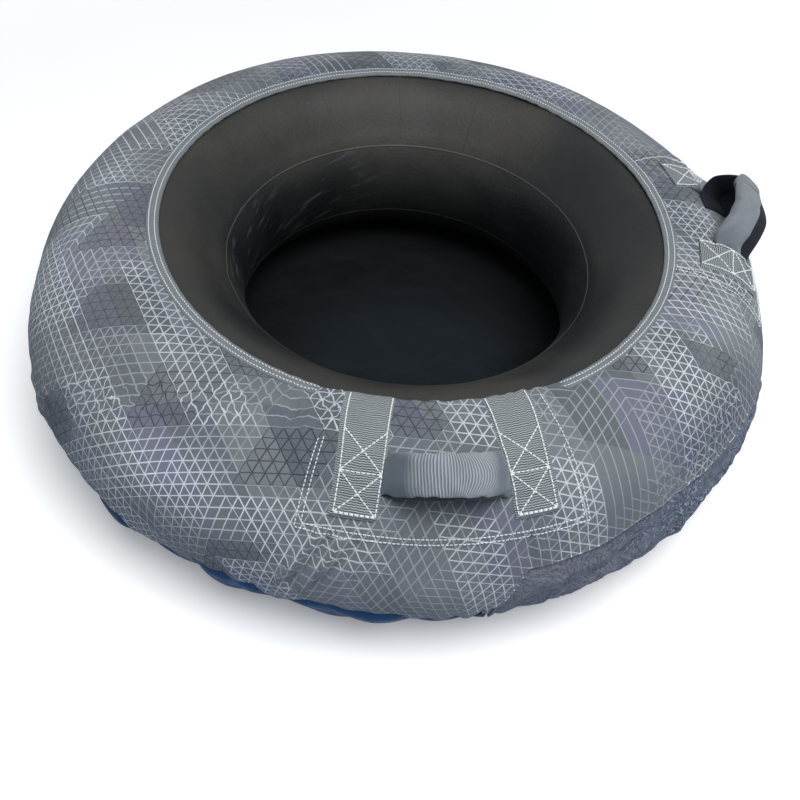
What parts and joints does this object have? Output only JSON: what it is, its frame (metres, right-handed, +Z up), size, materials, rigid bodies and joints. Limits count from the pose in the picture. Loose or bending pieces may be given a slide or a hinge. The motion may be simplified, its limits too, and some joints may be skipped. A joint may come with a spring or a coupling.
{
  "type": "snow tube",
  "caption": "Inflated rubber ring in a printed fabric cover, with a slick flat base, a closed seat in its hole and webbing grab handles.",
  "frame": {"origin": "centre of the base's flat underside", "axes": "+Z up out of the seat, the front handle at -Y, the side handle at +X"},
  "size_m": [0.8996, 0.8996, 0.299],
  "materials": {
    "printed_cloth": "coated woven polyester with a faceted line print",
    "plain_cloth": "coated woven polyester, unprinted",
    "slick_sheet": "glossy coated sheet",
    "liner": "black coated cloth",
    "binding_tape": "woven tape",
    "backing_cloth": "woven cloth",
    "grey_webbing": "ribbed webbing",
    "black_webbing": "padded webbing",
    "sleeve_cloth": "soft woven cloth",
    "rubber": "matt moulded butyl",
    "brass": "turned",
    "black_plastic": "moulded",
    "thread": "white sewing thread"
  },
  "bodies": {
    "ring": {"top_panel": "printed_cloth", "side_gusset": "plain_cloth", "base_panel": "slick_sheet", "base_sidewall": "slick_sheet", "seat_panel": "liner", "rim_binding": "binding_tape", "front_reinforcement": "backing_cloth", "side_reinforcement": "backing_cloth", "front_anchor_left": "grey_webbing", "front_anchor_right": "grey_webbing", "side_anchor_near": "grey_webbing", "side_anchor_far": "grey_webbing", "inner_tube": "rubber", "valve_patch": "rubber", "valve_stem": "rubber", "valve_insert": "brass", "valve_core": "brass"},
    "front_handle": {"front_handle_core": "black_webbing", "front_grip_sleeve": "sleeve_cloth"},
    "side_handle": {"side_handle_core": "black_webbing", "side_grip_sleeve": "sleeve_cloth", "side_sleeve_tab": "sleeve_cloth"},
    "valve_cap": {"valve_cap": "black_plastic"},
    "valve_pin": {"valve_pin": "brass"}
  },
  "joints": [
    {"name": "front_handle_flop", "type": "hinge", "parent": "ring", "child": "front_handle", "pos_m": [0, -0.3737, 0.24241], "axis": [1, 0, 0], "range_deg": [-60, 45]},
    {"name": "side_handle_flop", "type": "hinge", "parent": "ring", "child": "side_handle", "pos_m": [0.3737, 0, 0.24241], "axis": [0, 1, 0], "range_deg": [-60, 45]},
    {"name": "valve_cap_turn", "type": "hinge", "parent": "ring", "child": "valve_cap", "pos_m": [0, -0.20209, 0.07254], "axis": [0, 0.9099, -0.4148], "continuous": true},
    {"name": "valve_pin_press", "type": "slide", "parent": "ring", "child": "valve_pin", "axis": [0, -0.9099, 0.4148], "range_m": [0, 0.0012], "stiffness_N_per_m": 2000}
  ]
}
